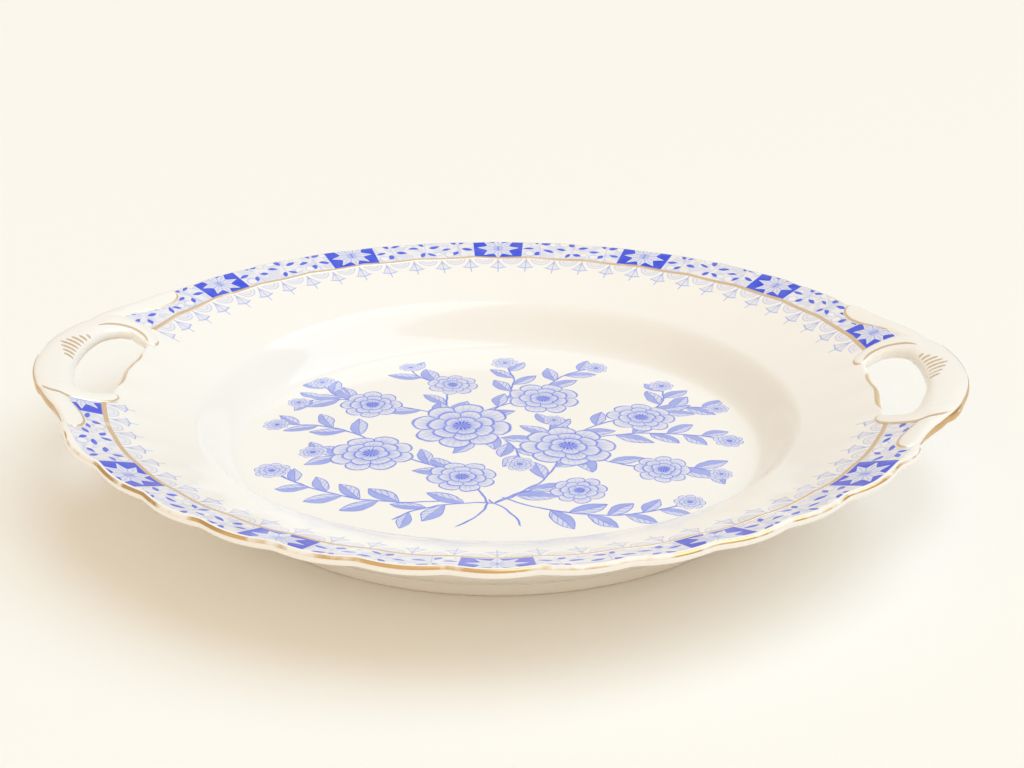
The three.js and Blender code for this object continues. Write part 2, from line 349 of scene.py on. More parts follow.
def plateBlocks(angle):
    # rows of (radius, height) from the middle of the upper face, round the lip, to that of the under face
    inner = edgeRadius(angle) - plate["lip"] / 2
    shoulder = plate["shoulderRadius"]
    flat = np.zeros_like(angle)

    def steps(name):
        return np.linspace(0, 1, plate["rows"][name] + 1)[1:, None]

    def upper(radius):
        return radius, topHeight(radius) + rimChange(radius, angle)

    def underRim(share):
        radius = inner + (underShoulder - inner) * share
        thickness = plate["lip"] + (plate["rimThickness"] - plate["lip"]) * share
        return radius, topHeight(radius) + rimChange(radius, angle) - thickness

    def underWall(share):
        width = underShoulder - footEdge
        low = topHeight(np.array(underShoulder)) - plate["rimThickness"]
        radius = underShoulder - width * share + flat
        slopes = plate["footSlope"] * width, plate["shoulderSlope"] * width
        return radius, hermite(1 - share, footTop, low, *slopes) + rimChange(radius, angle)

    floorRows = np.concatenate([[[0.0]], steps("floor") * plate["wellRadius"]])
    wallRows = plate["wellRadius"] + (shoulder - plate["wellRadius"]) * steps("wall")
    return {
        "floor": upper(floorRows + flat),
        "wall": upper(wallRows + flat),
        "rim": upper(shoulder + (inner - shoulder) * steps("rim")),
        "lip": lipPoints(pi * steps("lip"), angle),
        "underRim": underRim(steps("underRim")),
        "underWall": underWall(steps("underWall")),
        "base": ((1 - steps("base")) * footEdge + flat, footTop + flat + 0 * steps("base")),
    }


# Places on the bake map: u and v from, u and v to. The rim's four quarters lie one above the other.
bakePlaces = {
    "rim": (0.004, 0.504, 0.996, 0.998),
    "floor": (0.004, 0.004, 0.494, 0.494),
    "base": (0.504, 0.254, 0.744, 0.494),
    "wall": (0.504, 0.004, 0.996, 0.064),
    "lip": (0.504, 0.074, 0.996, 0.114),
    "underRim": (0.504, 0.124, 0.996, 0.174),
    "underWall": (0.504, 0.184, 0.996, 0.234),
}
quarters = 4
bakeMargin = 0.04  # round each quarter, as a share of its height


def bakeCorners(name, points, share, turn):
    # the four corners of each face: discs keep their plan, rings are unrolled, the rim in quarters
    fromU, fromV, toU, toV = bakePlaces[name]
    if name in ("floor", "base"):
        reach = np.abs(points).max()
        u, v = (points[..., 0] / reach + 1) / 2, (points[..., 1] / reach + 1) / 2
    else:
        u, v = turn, share
    if name == "rim":
        strip = np.minimum(np.floor(u.min(-1, keepdims=True) * quarters), quarters - 1)
        u = u * quarters - strip
        v = (strip + bakeMargin + (1 - 2 * bakeMargin) * v) / quarters
    return np.stack([fromU + (toU - fromU) * u, fromV + (toV - fromV) * v], -1)


def makeDishBody(glaze, rimPrint, floorPrints):
    columns = plate["columns"]
    angle = circle(columns)
    blocks = plateBlocks(angle)
    radius = np.concatenate([block[0] for block in blocks.values()])
    height = np.concatenate([block[1] for block in blocks.values()])
    points = turned(radius, height, angle[None, :])
    faces = gridFaces(len(radius), columns, False, True)
    column = np.arange(columns)
    around = np.stack([column, column, column + 1, column + 1], -1) / columns
    faceMaterial, bakeMap, row = [], [], 0
    for name, block in blocks.items():
        first = max(row, 1)
        row += len(block[0])
        count = row - first
        rowFaces = faces[(first - 1) * columns:(row - 1) * columns]
        corners = points.reshape(-1, 3)[rowFaces].reshape(count, columns, 4, 3)
        step = np.arange(count)[:, None, None] + np.array([0, 1, 1, 0])
        share, turn = step / count + 0 * around, around + 0 * step
        bakeMap.append(bakeCorners(name, corners, share, turn).reshape(-1, 2))
        printed = {"rim": 1 + 0 * column, "floor": 2 + column * quarters // columns}.get(name, 0 * column)
        faceMaterial.append(np.tile(printed, count))
    return newPiece("dish_body_china", points.reshape(-1, 3), faces, [glaze, rimPrint, *floorPrints],
                    np.concatenate(faceMaterial), np.concatenate(bakeMap))


foot = {
    "draft": 1.0, "width": 4.5, "round": 0.5,
    "roundSteps": 7, "sideSteps": 8, "columns": 360,
    "bare": 0.6,  # height that is ground bare, and how soft its upper edge is
    "bareEdge": 0.3,
    "bareRoughness": 0.45,  # above that of the glaze
    "grainScale": 900.0,
}


def makeFootRing(material):
    # closed section: flat against the plate, drafted sides, and a rounded tread that it stands on
    outer = footEdge - foot["draft"]
    inner = outer - foot["width"]
    turn = np.linspace(0, pi / 2, foot["roundSteps"])
    corner = foot["round"]
    treadOut = np.stack([outer - corner + corner * np.cos(turn), corner - corner * np.sin(turn)], 1)
    treadIn = np.stack([inner + corner - corner * np.sin(turn), corner - corner * np.cos(turn)], 1)
    rise = np.linspace(1, 0, foot["sideSteps"])[:, None]
    outSide = np.array([[outer, corner]]) * (1 - rise) + np.array([[footEdge, footTop]]) * rise
    inSide = np.array([[inner, corner]]) * rise + np.array([[inner - foot["draft"], footTop]]) * (1 - rise)
    section = np.concatenate([outSide[:-1], treadOut, treadIn, inSide[1:]])
    angle = circle(foot["columns"])
    points = turned(section[:, :1], section[:, 1:], angle[None, :])
    faces = gridFaces(len(section), len(angle), True, True)
    return newPiece("foot_ring_china", points.reshape(-1, 3), faces, [material])


# Handles

handle = {
    "rise": 0.5,  # above the rim
    "slope": 0.06,  # of the upper face outside the rim's circle
    "loop": [  # from the crown to the leaf's tip: x from the handle's end, y, width, thickness, squareness
        (7.3, 0, 12.6, 5.2, 2.6), (8.1, 10.6, 12.4, 5.2, 2.6),
        (11.3, 20.9, 12.2, 5.0, 2.7), (16.2, 27.6, 11.8, 4.6, 2.9),
        (21.4, 29.2, 9.4, 4.2, 3.0), (25.8, 27.8, 7.4, 3.8, 3.0),
        (28.9, 24.9, 6.4, 3.2, 2.8), (30.6, 21.0, 3.2, 2.4, 2.4),
    ],
    "lobe": [  # from under the loop to the tip: arc on the rim's circle, radius, and the same three sizes
        (20.0, 134.0, 6.0, 4.2, 2.5), (29.0, 133.0, 6.8, 4.4, 2.5),
        (37.0, 130.9, 6.8, 4.4, 2.6), (44.0, 128.6, 7.0, 4.2, 2.8),
        (50.5, 127.2, 7.4, 3.8, 2.9), (55.5, 127.1, 7.0, 3.4, 2.8),
        (59.0, 127.6, 5.0, 3.0, 2.6), (60.8, 128.2, 2.0, 2.8, 2.4),
    ],
    "backLobe": 1.3,  # how much wider, towards the well, the lobes at the back are
    "leanFrom": 9.0,  # how far from its end the handle begins to lean to the front, and leans in full
    "leanTo": 20.0,
    "loopGrid": (200, 36),  # steps along, and sides
    "lobeGrid": (70, 28),
    "voxel": 0.5, "smoothing": 5,
}


def handleHeight(x, y):
    # the handle's upper face follows the rim to its circle and rises less beyond it
    radius = np.hypot(x, y)
    sway = plate["rimSway"] * np.cos(2 * np.arctan2(y, x))
    beyond = handle["slope"] * np.maximum(radius - plate["rimRadius"], 0)
    onRim = topHeight(np.minimum(radius, plate["rimRadius"])) + rimShare(radius) * sway
    return onRim + handle["rise"] + beyond


def loopPath(end):
    # from the front leaf's tip round the crown to the back leaf's tip, with the lean of that end
    half = np.array(handle["loop"])
    half[:, 0] = handleEnd - half[:, 0]
    lean = plate["gapLean"][end] * smoothShare(handleEnd - half[:, 0], handle["leanFrom"], handle["leanTo"])
    back, front = half.copy(), half * np.array([1, -1, 1, 1, 1])
    back[:, 1] += lean
    front[:, 1] += lean
    return np.concatenate([front[::-1], back[1:]])


def lobePath(side):
    # at the back where side is 1 and at the front where it is -1
    arc, radius, width, *section = np.array(handle["lobe"]).T
    if side > 0:
        wider = handle["backLobe"] * np.sin(pi * np.linspace(0, 1, len(arc)))
        radius, width = radius - wider / 2, width + wider
    angle = side * arc / plate["rimRadius"]
    return np.stack([radius * np.cos(angle), radius * np.sin(angle), width, *section], 1)


def alongBand(stations, count):
    # centre and what else the stations give, and the unit direction, at each step
    path = curveThrough(stations, count)
    along = np.gradient(path[:, :2], axis=0)
    along /= np.linalg.norm(along, axis=1, keepdims=True)
    return path, along


def bandPoints(stations, count, sides):
    # superellipse sections carried along the stations, their tops on the handle's upper face
    path, along = alongBand(stations, count)
    turn = circle(sides)[None, :]
    power = 2 / path[:, 4:5]
    across = path[:, 2:3] / 2 * np.sign(np.cos(turn)) * np.abs(np.cos(turn)) ** power
    up = path[:, 3:4] / 2 * np.sign(np.sin(turn)) * np.abs(np.sin(turn)) ** power
    x = path[:, :1] - along[:, 1:] * across
    y = path[:, 1:2] + along[:, :1] * across
    return np.stack([x, y, handleHeight(x, y) - path[:, 3:4] / 2 + up], -1)


def makeHandle(name, side, material):
    # the loop and its two side lobes, each a closed band, grown together by a voxel remesh
    bands = [bandPoints(loopPath(side), *handle["loopGrid"])]
    bands += [bandPoints(lobePath(half), *handle["lobeGrid"]) for half in (1, -1)]
    points, faces = [], []
    for band in bands:
        faces += tubeFaces(*band.shape[:2], sum(len(p) for p in points))
        points.append(band.reshape(-1, 3))
    piece = newPiece(name, np.concatenate(points) * np.array([side, 1, 1]), faces, [material])
    remesh = piece.modifiers.new("grow together", "REMESH")
    remesh.mode = "VOXEL"
    remesh.voxel_size = handle["voxel"] * mm
    soften = piece.modifiers.new("soften", "SMOOTH")
    soften.factor = 0.5
    soften.iterations = handle["smoothing"]
    bakeModifiers(piece)
    return piece


# Gilding

gilding = {
    "thickness": 0.12, "sunk": 0.05,
    "steps": 420,  # along a line on the rim, and along a finger gap
    "gapSteps": 60,
    "lipTaper": 0.8,  # how much narrower the ends of a strip on the lip are
    "edgeFrom": radians(26),  # round the lip from its top
    "edgeTo": radians(64), "edgeEnd": radians(25.8),
    "lineRadius": 117.9, "lineWidth": 1.4, "lineEnd": radians(13.8),
    "gapFrom": radians(-10), "gapTo": radians(100), "gapHalf": radians(7.4),
    "outerWidth": 2.6,
    "outerDrop": 2.2,  # of the outer stroke's middle below the upper face
    "outerCrown": 0.13,  # share of the loop that it covers each side of the crown
    "outerLobe": (0.5, 0.88),  # and from where to where on a lobe
    "strokeWidth": 1.0,
    "strokeTip": 0.15,  # width of a stroke's tips, as a share
    "strokeEnds": 4.5,  # its length over that of its tapered ends
    "strokeSwell": 0.6,
    "lobeLine": [  # places on a band: share along it, side from -1 (outer edge) to 1 (inner edge)
        (0.4, 0.74), (0.46, 0.76), (0.58, 0.78), (0.7, 0.78), (0.82, 0.78), (0.92, 0.74), (0.975, 0.6),
        (1.0, 0.0), (0.99, -0.9),
    ],
    "frontSkips": 2,  # the front one starts this many places later
    "ridge": [(0.74, 0.36), (0.79, 0.42), (0.84, 0.42), (0.89, 0.4), (0.94, 0.4), (0.98, 0.5)],
    "tip": [(0.965, -0.9), (0.985, -0.8), (0.998, -0.3), (1.0, 0.6)],
    "frontLeaf": [
        (0.215, -0.86), (0.18, -0.86), (0.13, -0.86), (0.08, -0.86), (0.04, -0.86), (0.01, -0.7),
        (0.0, 0.2),
    ],
    "fan": [2.6, 4.0, 5.6, 6.4, 7.4, 6.0, 4.6, 3.6],  # lengths of the strokes on the crown
    "fanFrom": 9.5,  # the first one's y, and the step to the next
    "fanStep": -2.5, "fanSlant": 0.55,
    "fanInset": 0.7,  # from the loop's inner edge, and how the strokes follow its curve
    "fanCurve": 0.012, "fanWidth": 0.95,
}
goldHeight = gilding["thickness"] - gilding["sunk"]


def gildedStrip(name, over, under, material):
    # closed strip between an outer and an inner sheet of (angle, across) points
    loop = np.concatenate([over, under[:, ::-1]], axis=1)
    return newPiece(name, loop.reshape(-1, 3), tubeFaces(*loop.shape[:2]), [material])


def gildedLip(name, angles, lipFrom, lipTo, material):
    # strip round the lip, narrowed at both ends
    share = np.linspace(-1, 1, len(angles))[:, None]
    taper = 1 - share ** 10 * gilding["lipTaper"]
    across = np.linspace(-1, 1, 14)[None, :]
    turn = (lipFrom + lipTo) / 2 + (lipTo - lipFrom) / 2 * across * taper
    angle = angles[:, None]
    over = turned(*lipPoints(turn, angle, goldHeight), angle)
    under = turned(*lipPoints(turn, angle, -gilding["sunk"]), angle)
    return gildedStrip(name, over, under, material)


def gildedRing(name, angles, material):
    # line on the rim's upper face, thinned to nothing at both margins
    across = np.linspace(-1, 1, 7)[None, :]
    angle = angles[:, None]
    radius = gilding["lineRadius"] + gilding["lineWidth"] / 2 * across
    height = topHeight(radius) + rimChange(radius, angle)
    over = turned(radius, height + goldHeight * (1 - across ** 4), angle)
    under = turned(radius, height - gilding["sunk"], angle)
    return gildedStrip(name, over, under, material)


def brushStroke(path, width, upright, count):
    # ribbon along a path, thinned to its ends like a brush stroke; an upright one stands on edge
    path, along = alongBand(path, count)
    share = np.linspace(0, 1, count)
    fromEnd = np.minimum(1, gilding["strokeEnds"] * np.minimum(share, 1 - share))
    taper = fromEnd ** gilding["strokeSwell"] * (1 - gilding["strokeTip"]) + gilding["strokeTip"]
    side = np.linspace(-0.5, 0.5, 5)[None, :] * (taper * width)[:, None]
    height = path[:, 2:3] + 0 * side
    if upright:
        return np.stack([path[:, :1] + 0 * side, path[:, 1:2] + 0 * side, height + side], -1)
    return np.stack([path[:, :1] - along[:, 1:] * side, path[:, 1:2] + along[:, :1] * side, height], -1)


def bandSpots(stations, shares, sides, count=400):
    # points on a band's upper face, given by shares along it and sides across it
    path, along = alongBand(stations, count)
    at = np.round(np.asarray(shares) * (count - 1)).astype(int)
    spot, along = path[at], along[at]
    reach = spot[:, 2] / 2 * np.broadcast_to(np.asarray(sides, float), at.shape)
    x = spot[:, 0] - along[:, 1] * reach
    y = spot[:, 1] + along[:, 0] * reach
    return np.stack([x, y, handleHeight(x, y)], 1)


def handleStrokes(end):
    # brush strokes of one handle: (path, width, on edge or flat); the back half is at positive y
    loop = loopPath(end)
    drop = np.array([0, 0, -gilding["outerDrop"]])
    edgeWidth, lineWidth = gilding["outerWidth"], gilding["strokeWidth"]
    strokes = []
    for side, skips in ((1, 0), (-1, gilding["frontSkips"])):
        crown = bandSpots(loop, 0.5 + side * np.linspace(0, gilding["outerCrown"], 6), -1)
        lobe = bandSpots(lobePath(side), np.linspace(*gilding["outerLobe"], 7), -side)
        strokes.append((np.concatenate([crown, lobe]) + drop, edgeWidth, True))
        shares, sides = np.array(gilding["lobeLine"][skips:]).T
        strokes.append((bandSpots(lobePath(side), shares, side * sides), lineWidth, False))
    for name in ("ridge", "tip", "frontLeaf"):
        strokes.append((bandSpots(loop, *np.array(gilding[name]).T), lineWidth, False))
    innerEdge = handleEnd - handle["loop"][0][0] - handle["loop"][0][2] / 2
    for i, length in enumerate(gilding["fan"]):
        along = np.array([0.0, 0.5, 1.0]) * length
        y = gilding["fanFrom"] + gilding["fanStep"] * i + gilding["fanSlant"] * along
        x = innerEdge + gilding["fanInset"] - gilding["fanCurve"] * y * y + along
        fanStroke = np.stack([x, y, handleHeight(x, y)], 1)
        strokes.append((fanStroke, lineWidth * gilding["fanWidth"], False))
    return strokes


def makeHandleGilding(name, side, target, materials):
    # strokes mirrored to their end and pressed on to the china; those on edge take the second gold,
    # darkened as painted shade
    points, faces, faceMaterial = [], [], []
    for path, width, upright in handleStrokes(side):
        count = 12 + 4 * len(path)
        sheet = brushStroke(path, width, upright, count) * np.array([side, 1, 1])
        sheetFaces = gridFaces(*sheet.shape[:2], False, False, sum(len(p) for p in points)).tolist()
        points.append(sheet.reshape(-1, 3))
        faces += sheetFaces
        faceMaterial += [int(upright)] * len(sheetFaces)
    piece = newPiece(name, np.concatenate(points), faces, materials, faceMaterial)
    press = piece.modifiers.new("press on", "SHRINKWRAP")
    press.target = target
    press.wrap_method = "NEAREST_SURFACEPOINT"
    press.wrap_mode = "OUTSIDE_SURFACE"
    press.offset = goldHeight * mm
    bakeModifiers(piece)
    return piece


# Finishes

china = {
    "white": colour(253, 249, 242),
    "cool": colour(252, 249, 245),
    "bare": colour(226, 214, 196),
    "paleInk": colour(178, 190, 244),
    "deepInk": colour(40, 72, 228),
    "driftScale": 14.0,  # of the drift between the two whites
    "rippleScale": 38.0, "ripple": 0.06,
    "ior": 1.5, "roughness": 0.09,
}


def glazeSockets(finish, base):
    # glossy glaze with a faint ripple
    ripple = finish.noise(china["rippleScale"])
    sockets = {"Strength": china["ripple"], "Distance": mm, "Height": ripple}
    bump = finish.node("ShaderNodeBump", sockets=sockets)
    return {"Base Color": base, "Roughness": china["roughness"], "IOR": china["ior"], "Normal": bump}


def glazeColour(finish):
    return finish.mixColour(finish.noise(china["driftScale"]), china["white"], china["cool"])


def makeGlaze():
    finish = Finish("clear_glaze")
    return finish.surface(glazeSockets(finish, glazeColour(finish)))


def makeFootFinish():
    # glazed down to the tread, which is ground bare
    finish = Finish("ground_foot")
    height = finish.node("ShaderNodeSeparateXYZ", sockets={0: finish.where()}, out=2)
    tread = finish.edge(foot["bare"] * mm - height, foot["bareEdge"] * mm)
    grain = finish.noise(foot["grainScale"], 3.0)
    bare = finish.mixColour(grain, china["bare"], china["white"])
    tone = finish.mixColour(tread, glazeColour(finish), bare)
    roughness = china["roughness"] + tread * foot["bareRoughness"]
    return finish.surface({"Base Color": tone, "Roughness": roughness})


# one gold in three copies: the edge gold on the lip and the outer gold on the handles' outer edges are
# darkened as painted shade, and the line gold on top is paled as painted light
golds = {  # light and deep tone, roughness, the noise past which it is worn, and how far
    "edge_gold_painted_shade": (colour(236, 206, 156), colour(204, 164, 108), 0.26, 0.52, 0.9),
    "line_gold_painted_light": (colour(255, 245, 226), colour(252, 222, 182), 0.34, 0.68, 0.6),
    "outer_gold_painted_shade": (colour(232, 198, 142), colour(200, 158, 100), 0.3, 0.72, 0.5),
}
goldWear = {"scale": 110.0, "edge": 0.14, "roughness": 0.3, "toneScale": 60.0}


def makeGold(name):
    # burnished gold between two tones, worn to the china in places
    light, deep, roughness, wornFrom, worn = golds[name]
    finish = Finish(name)
    bare = finish.edge(finish.noise(goldWear["scale"], 3.0) - wornFrom, goldWear["edge"]) * worn
    tone = finish.mixColour(finish.noise(goldWear["toneScale"]), light, deep)
    base = finish.mixColour(bare, tone, china["white"])
    rough = roughness + bare * goldWear["roughness"]
    return finish.surface({"Base Color": base, "Metallic": 1 - bare, "Roughness": rough})


def inkOn(finish, ink):
    # pale blue up to a third of the ink's strength, then towards deep blue
    pale = finish.math("MULTIPLY", ink, 2.6, clamp=True)
    deep = finish.math("MULTIPLY_ADD", ink, 1.5, -0.5, clamp=True)
    paled = finish.mixColour(pale, glazeColour(finish), china["paleInk"])
    return finish.mixColour(deep, paled, china["deepInk"])


def patchy(finish, ink, scale, least, more):
    # ink that took unevenly
    return ink * (least + finish.noise(scale, 3.0) * more)


def nearestMark(finish, where, marks):
    # turned ovals (x, y, turn, half length, half width): the place in the nearest one, in its own sizes
    nearest = finish.place(where, *marks[0])
    distance = finish.length(nearest)
    for mark in marks[1:]:
        local = finish.place(where, *mark)
        far = finish.length(local)
        closer = finish.math("LESS_THAN", far, distance)
        nearest = finish.mixVector(closer, nearest, local)
        distance = finish.math("MINIMUM", distance, far)
    return finish.split(nearest)


border = {
    "panels": 14, "firstPanel": radians(-9.33),
    "inner": 118.6, "outer": 129.8, "panelHalf": 9.1,
    "starStretch": 1.2,  # the star is this much longer along the rim
    "starNotch": 3.8, "starPoint": 2.7,
    "starVein": 5.0,  # reach of the lines on the petals, of those between them and of the heart
    "starGap": 3.6, "starHeart": 1.5,
    "clusters": 3,  # sprigs in each pale panel
    "sprig": [  # leaves: along, outwards, turn in degrees, half length, half width
        (-3.8, -1.2, 14, 2.1, 0.8), (-2.3, 3.3, -24, 1.8, 0.75),
        (1.1, 3.6, 62, 1.5, 0.85), (0.8, -3.0, -58, 1.5, 0.95),
        (4.0, -0.4, -10, 2.0, 0.7),
    ],
    "rings": [(3.4, -3.6, 0, 1.7, 1.5), (-4.9, 3.1, 0.4, 1.5, 1.1)],  # beside the leaves; turn in radians
    "stemAt": -0.4, "stemLean": 0.12, "stemTop": 3.4,
    "stray": 1.5,  # how far the sprigs stray
    "strayScale": 230.0, "blotchScale": 330.0,
    "pendants": 70, "laceRadius": 111,
    "swag": 3.2,  # radius, and that of the inner one as a share
    "swagInner": 0.62,
    "pendantTop": 1.0, "pendantHalf": 2.1, "pendantDrop": 4.8, "pendantFoot": 5.9,
    "footSlant": 0.3, "armReach": 3.1, "pendantTip": 8.2,
    "handleClear": radians(14.2),  # bare china each side of a handle
    "rightBackLess": radians(2.4),  # less of it at the right back, in the border and in the lace
    "laceLess": radians(1.2),
    "patches": (260.0, 0.86, 0.28),  # scale, least ink and what the noise adds
    "ink": {"panel": 0.96, "star": 0.13, "vein": 0.16, "gap": 0.3, "heart": 0.2, "heartLine": 0.3,
            "leaf": 0.88, "line": 0.19, "ground": 0.06, "blotch": 0.1, "lace": 0.3, "wash": 0.07},
}


def panelInk(finish, along, up):
    # deep blue with a pointed white star whose petals and square heart are drawn in pale blue
    ink = border["ink"]
    starX = along / border["starStretch"]
    reach = finish.length(finish.join(starX, up))
    turn = finish.math("ARCTAN2", up, starX)
    point = 1 - finish.math("PINGPONG", turn * (8 / pi), 1)
    star = finish.edge(border["starNotch"] + border["starPoint"] * point * point - reach, 0.25)
    vein = finish.edge(point - 0.82, 0.25) * finish.edge(border["starVein"] - reach, 0.6)
    gap = finish.edge(0.16 - point, 0.2) * finish.edge(border["starGap"] - reach, 0.4)
    heart = finish.edge(border["starHeart"] - finish.most(abs(starX), abs(up)), 0.4)
    heartInk = heart * (ink["heart"] + finish.edge(0.25 - abs(starX), 0.3) * ink["heartLine"])
    petals = finish.most(vein * ink["vein"], gap * ink["gap"])
    return finish.mixValue(star, ink["panel"], ink["star"] + finish.most(petals, heartInk))


def sprigInk(finish, along, up, cellWidth):
    # pale ground with sprigs of dark leaves; every second sprig hangs from the other side
    ink = border["ink"]
    run = along / cellWidth
    odd = finish.math("FLOORED_MODULO", finish.math("FLOOR", run), 2.0)
    cell = (finish.math("FRACT", run) - 0.5) * cellWidth
    hang = up * (1 - odd * 2)
    stray = (finish.noise(border["strayScale"], 1.0) - 0.5) * border["stray"]
    at = finish.join(cell + stray, hang + stray)
    leaves = [(u, v, radians(turn), a, b) for u, v, turn, a, b in border["sprig"]]
    x, y = nearestMark(finish, at, leaves)
    leaf = finish.edge(1 - x * x - abs(y), 0.3)
    fromStem = abs(cell - border["stemAt"] - hang * border["stemLean"])
    lines = finish.edge(0.16 - fromStem, 0.25) * finish.edge(border["stemTop"] - hang, 0.5)
    bare = 0.0
    for mark in border["rings"]:
        ring = finish.length(finish.place(at, *mark))
        lines = lines + finish.edge(0.14 - abs(ring - 1), 0.2)
        bare = finish.most(finish.edge(1 - ring, 0.2), bare)
    blotch = finish.edge(finish.noise(border["blotchScale"]) - 0.5, 0.1)
    ground = (ink["ground"] + blotch * ink["blotch"]) * (1 - bare * 0.8)
    pale = ground + finish.math("MINIMUM", lines, 1.0) * ink["line"]
    return finish.most(leaf * ink["leaf"], pale)


def laceInk(finish, along, drop, cellWidth):
    # swags hung from the gold line and, between them, fan pendants with a stem
    ink = border["ink"]
    side = abs(along)
    at = finish.join(side, drop)
    swag = finish.length(finish.place(at, cellWidth / 2, 0, 0, border["swag"], border["swag"]))
    inner = abs(swag - border["swagInner"])
    swags = finish.edge(0.07 - abs(swag - 1), 0.08) + finish.edge(0.06 - inner, 0.08)
    spread = border["pendantHalf"] / (border["pendantDrop"] - border["pendantTop"])
    flank = (drop - border["pendantTop"]) * spread
    base = border["pendantFoot"] - drop - side * border["footSlant"]
    fan = finish.math("MINIMUM", (flank - side) * 0.88, base * 0.94)
    fanLine = finish.edge(0.2 - abs(fan), 0.25)
    rib = finish.edge(0.14 - abs(side - flank * 0.5), 0.2) * finish.edge(fan, 0.3)
    stem = finish.edge(0.2 - side, 0.25) * finish.edge(border["pendantTip"] - drop, 0.4)
    arms = finish.edge(0.2 - abs(base), 0.25) * finish.edge(border["armReach"] - side, 0.4)
    wash = finish.most(finish.edge(fan, 0.3), finish.edge(1 - swag, 0.1)) * ink["wash"]
    lines = finish.math("MINIMUM", swags * 0.8 + fanLine + arms + rib * 0.6 + stem * 1.2, 1.2) * ink["lace"]
    return finish.edge(drop, 0.2) * finish.most(wash, lines)


def makeRimPrint():
    finish = Finish("printed_rim")
    flat = finish.vector("MULTIPLY", finish.where(), (1 / mm, 1 / mm, 0))
    x, y = finish.split(flat)
    radius = finish.length(flat)
    angle = finish.math("ARCTAN2", y, x)
    middle = (border["inner"] + border["outer"]) / 2
    half = (border["outer"] - border["inner"]) / 2
    period = 2 * pi / border["panels"]
    length = period * middle
    turn = finish.math("WRAP", (angle - border["firstPanel"]) / period, 0.5, -0.5)
    along = turn * length
    up = radius - middle
    panel = finish.edge(border["panelHalf"] - abs(along), 0.25)
    sprigWidth = (length - 2 * border["panelHalf"]) / border["clusters"]
    fromPanel = finish.math("WRAP", turn, 1.0, 0.0) * length - border["panelHalf"]
    sprigs = sprigInk(finish, fromPanel, up, sprigWidth)
    printed = finish.mixValue(panel, sprigs, panelInk(finish, along, up))
    borderInk = printed * finish.edge(half - abs(up), 0.3)
    step = 2 * pi / border["pendants"]
    laceTurn = finish.math("WRAP", (angle - border["firstPanel"]) / step, 0.5, -0.5)
    drop = gilding["lineRadius"] - gilding["lineWidth"] / 2 - radius
    laceWidth = step * border["laceRadius"]
    lace = laceInk(finish, laceTurn * laceWidth, drop, laceWidth)
    fromHandle = abs(finish.math("WRAP", angle, pi / 2, -pi / 2))
    rightBack = finish.math("GREATER_THAN", x, 0.0) * finish.math("GREATER_THAN", y, 0.0)
    fromEnd = fromHandle - border["handleClear"]
    borderInk = borderInk * finish.edge(fromEnd + rightBack * border["rightBackLess"], 0.01)
    lace = lace * finish.edge(fromEnd + rightBack * border["laceLess"], 0.01)
    ink = patchy(finish, finish.most(borderInk, lace), *border["patches"])
    return finish.surface(glazeSockets(finish, inkOn(finish, ink)))


spray = {
    "blossoms": [  # x, y, radius
        (-12, 11, 17.5), (22, -3, 15.5), (-38, -12, 13.5), (13, 35, 13), (45, 21, 11.5), (-43, 26, 11),
        (-9, -27, 11), (51, -18, 9.5), (-18, 45, 9), (26, -34, 9),
    ],
    "squash": 0.92,
    "stems": [  # from x, y to x, y, bow as a share of the length, leaves, radius of the blossom at the tip
        (-8, -42, -66, -26, 0.16, 7, 5.5), (-37, -8, -71, 8, -0.18, 5, 4.5),
        (-42, 26, -62, 44, 0.14, 4, 4.5), (-18, 44, -34, 60, 0.15, 3, 4.0),
        (-4, 22, -2, 66, -0.12, 5, 5.0), (12, 34, 30, 63, 0.16, 4, 4.5),
        (44, 21, 52, 48, -0.14, 4, 4.5), (44, 21, 70, 30, 0.14, 4, 4.0),
        (24, 0, 72, 4, 0.14, 6, 5.0), (4, -40, 58, -40, -0.18, 7, 5.0),
        (51, -18, 68, -20, 0.16, 3, 4.0), (-43, 26, -67, 26, -0.16, 4, 4.0),
        (-12, 11, 8, -17, 0.16, 5, 5.0), (22, -3, 17, 17, 0.16, 4, 4.0),
        (-38, -12, -56, -12, 0.14, 3, 4.5), (2, -44, -12, 10, 0.12, 4, 0),
        (2, -44, 20, -2, -0.12, 4, 0), (0, -44, -37, -12, -0.14, 4, 0),
        (-12, 10, 12, 34, 0.14, 3, 0), (20, -2, 44, 21, 0.12, 3, 0),
        (-12, 10, -42, 26, -0.12, 3, 0), (-12, 10, -18, 44, 0.1, 3, 0),
        (20, -2, 50, -17, -0.12, 3, 0), (2, -44, 25, -33, 0.14, 2, 0),
        (2, -44, 10, -58, 0.1, 0, 0), (0, -44, -8, -59, 0.08, 0, 0),
        (2, -44, -26, -56, -0.12, 4, 0),
    ],
    "petals": [(8, 1.0, 0.0), (7, 0.7, 0.6), (5, 0.42, 0.3)],  # count, size and turn of each ring
    "leafSpan": (0.28, 0.82),  # share of a stem that has leaves
    "leafTurn": radians(40), "leafLength": 6.4, "leafWidth": 2.9,
    "leafSizes": (1.15, 0.7),  # at the start of a stem and at its tip
    "stemHalf": 0.32,
    "wander": 2.4,  # how far the printed lines stray
    "wanderScale": 110.0,
    "patches": (150.0, 0.66, 0.6),
    "ink": {"stem": 0.7, "leaf": 0.2, "darkHalf": 0.26, "outline": 0.72, "vein": 0.5, "midrib": 0.62,
            "petal": 0.06, "petalDepth": 0.42, "streak": 0.12, "petalLine": 0.7, "dot": 0.95},
}


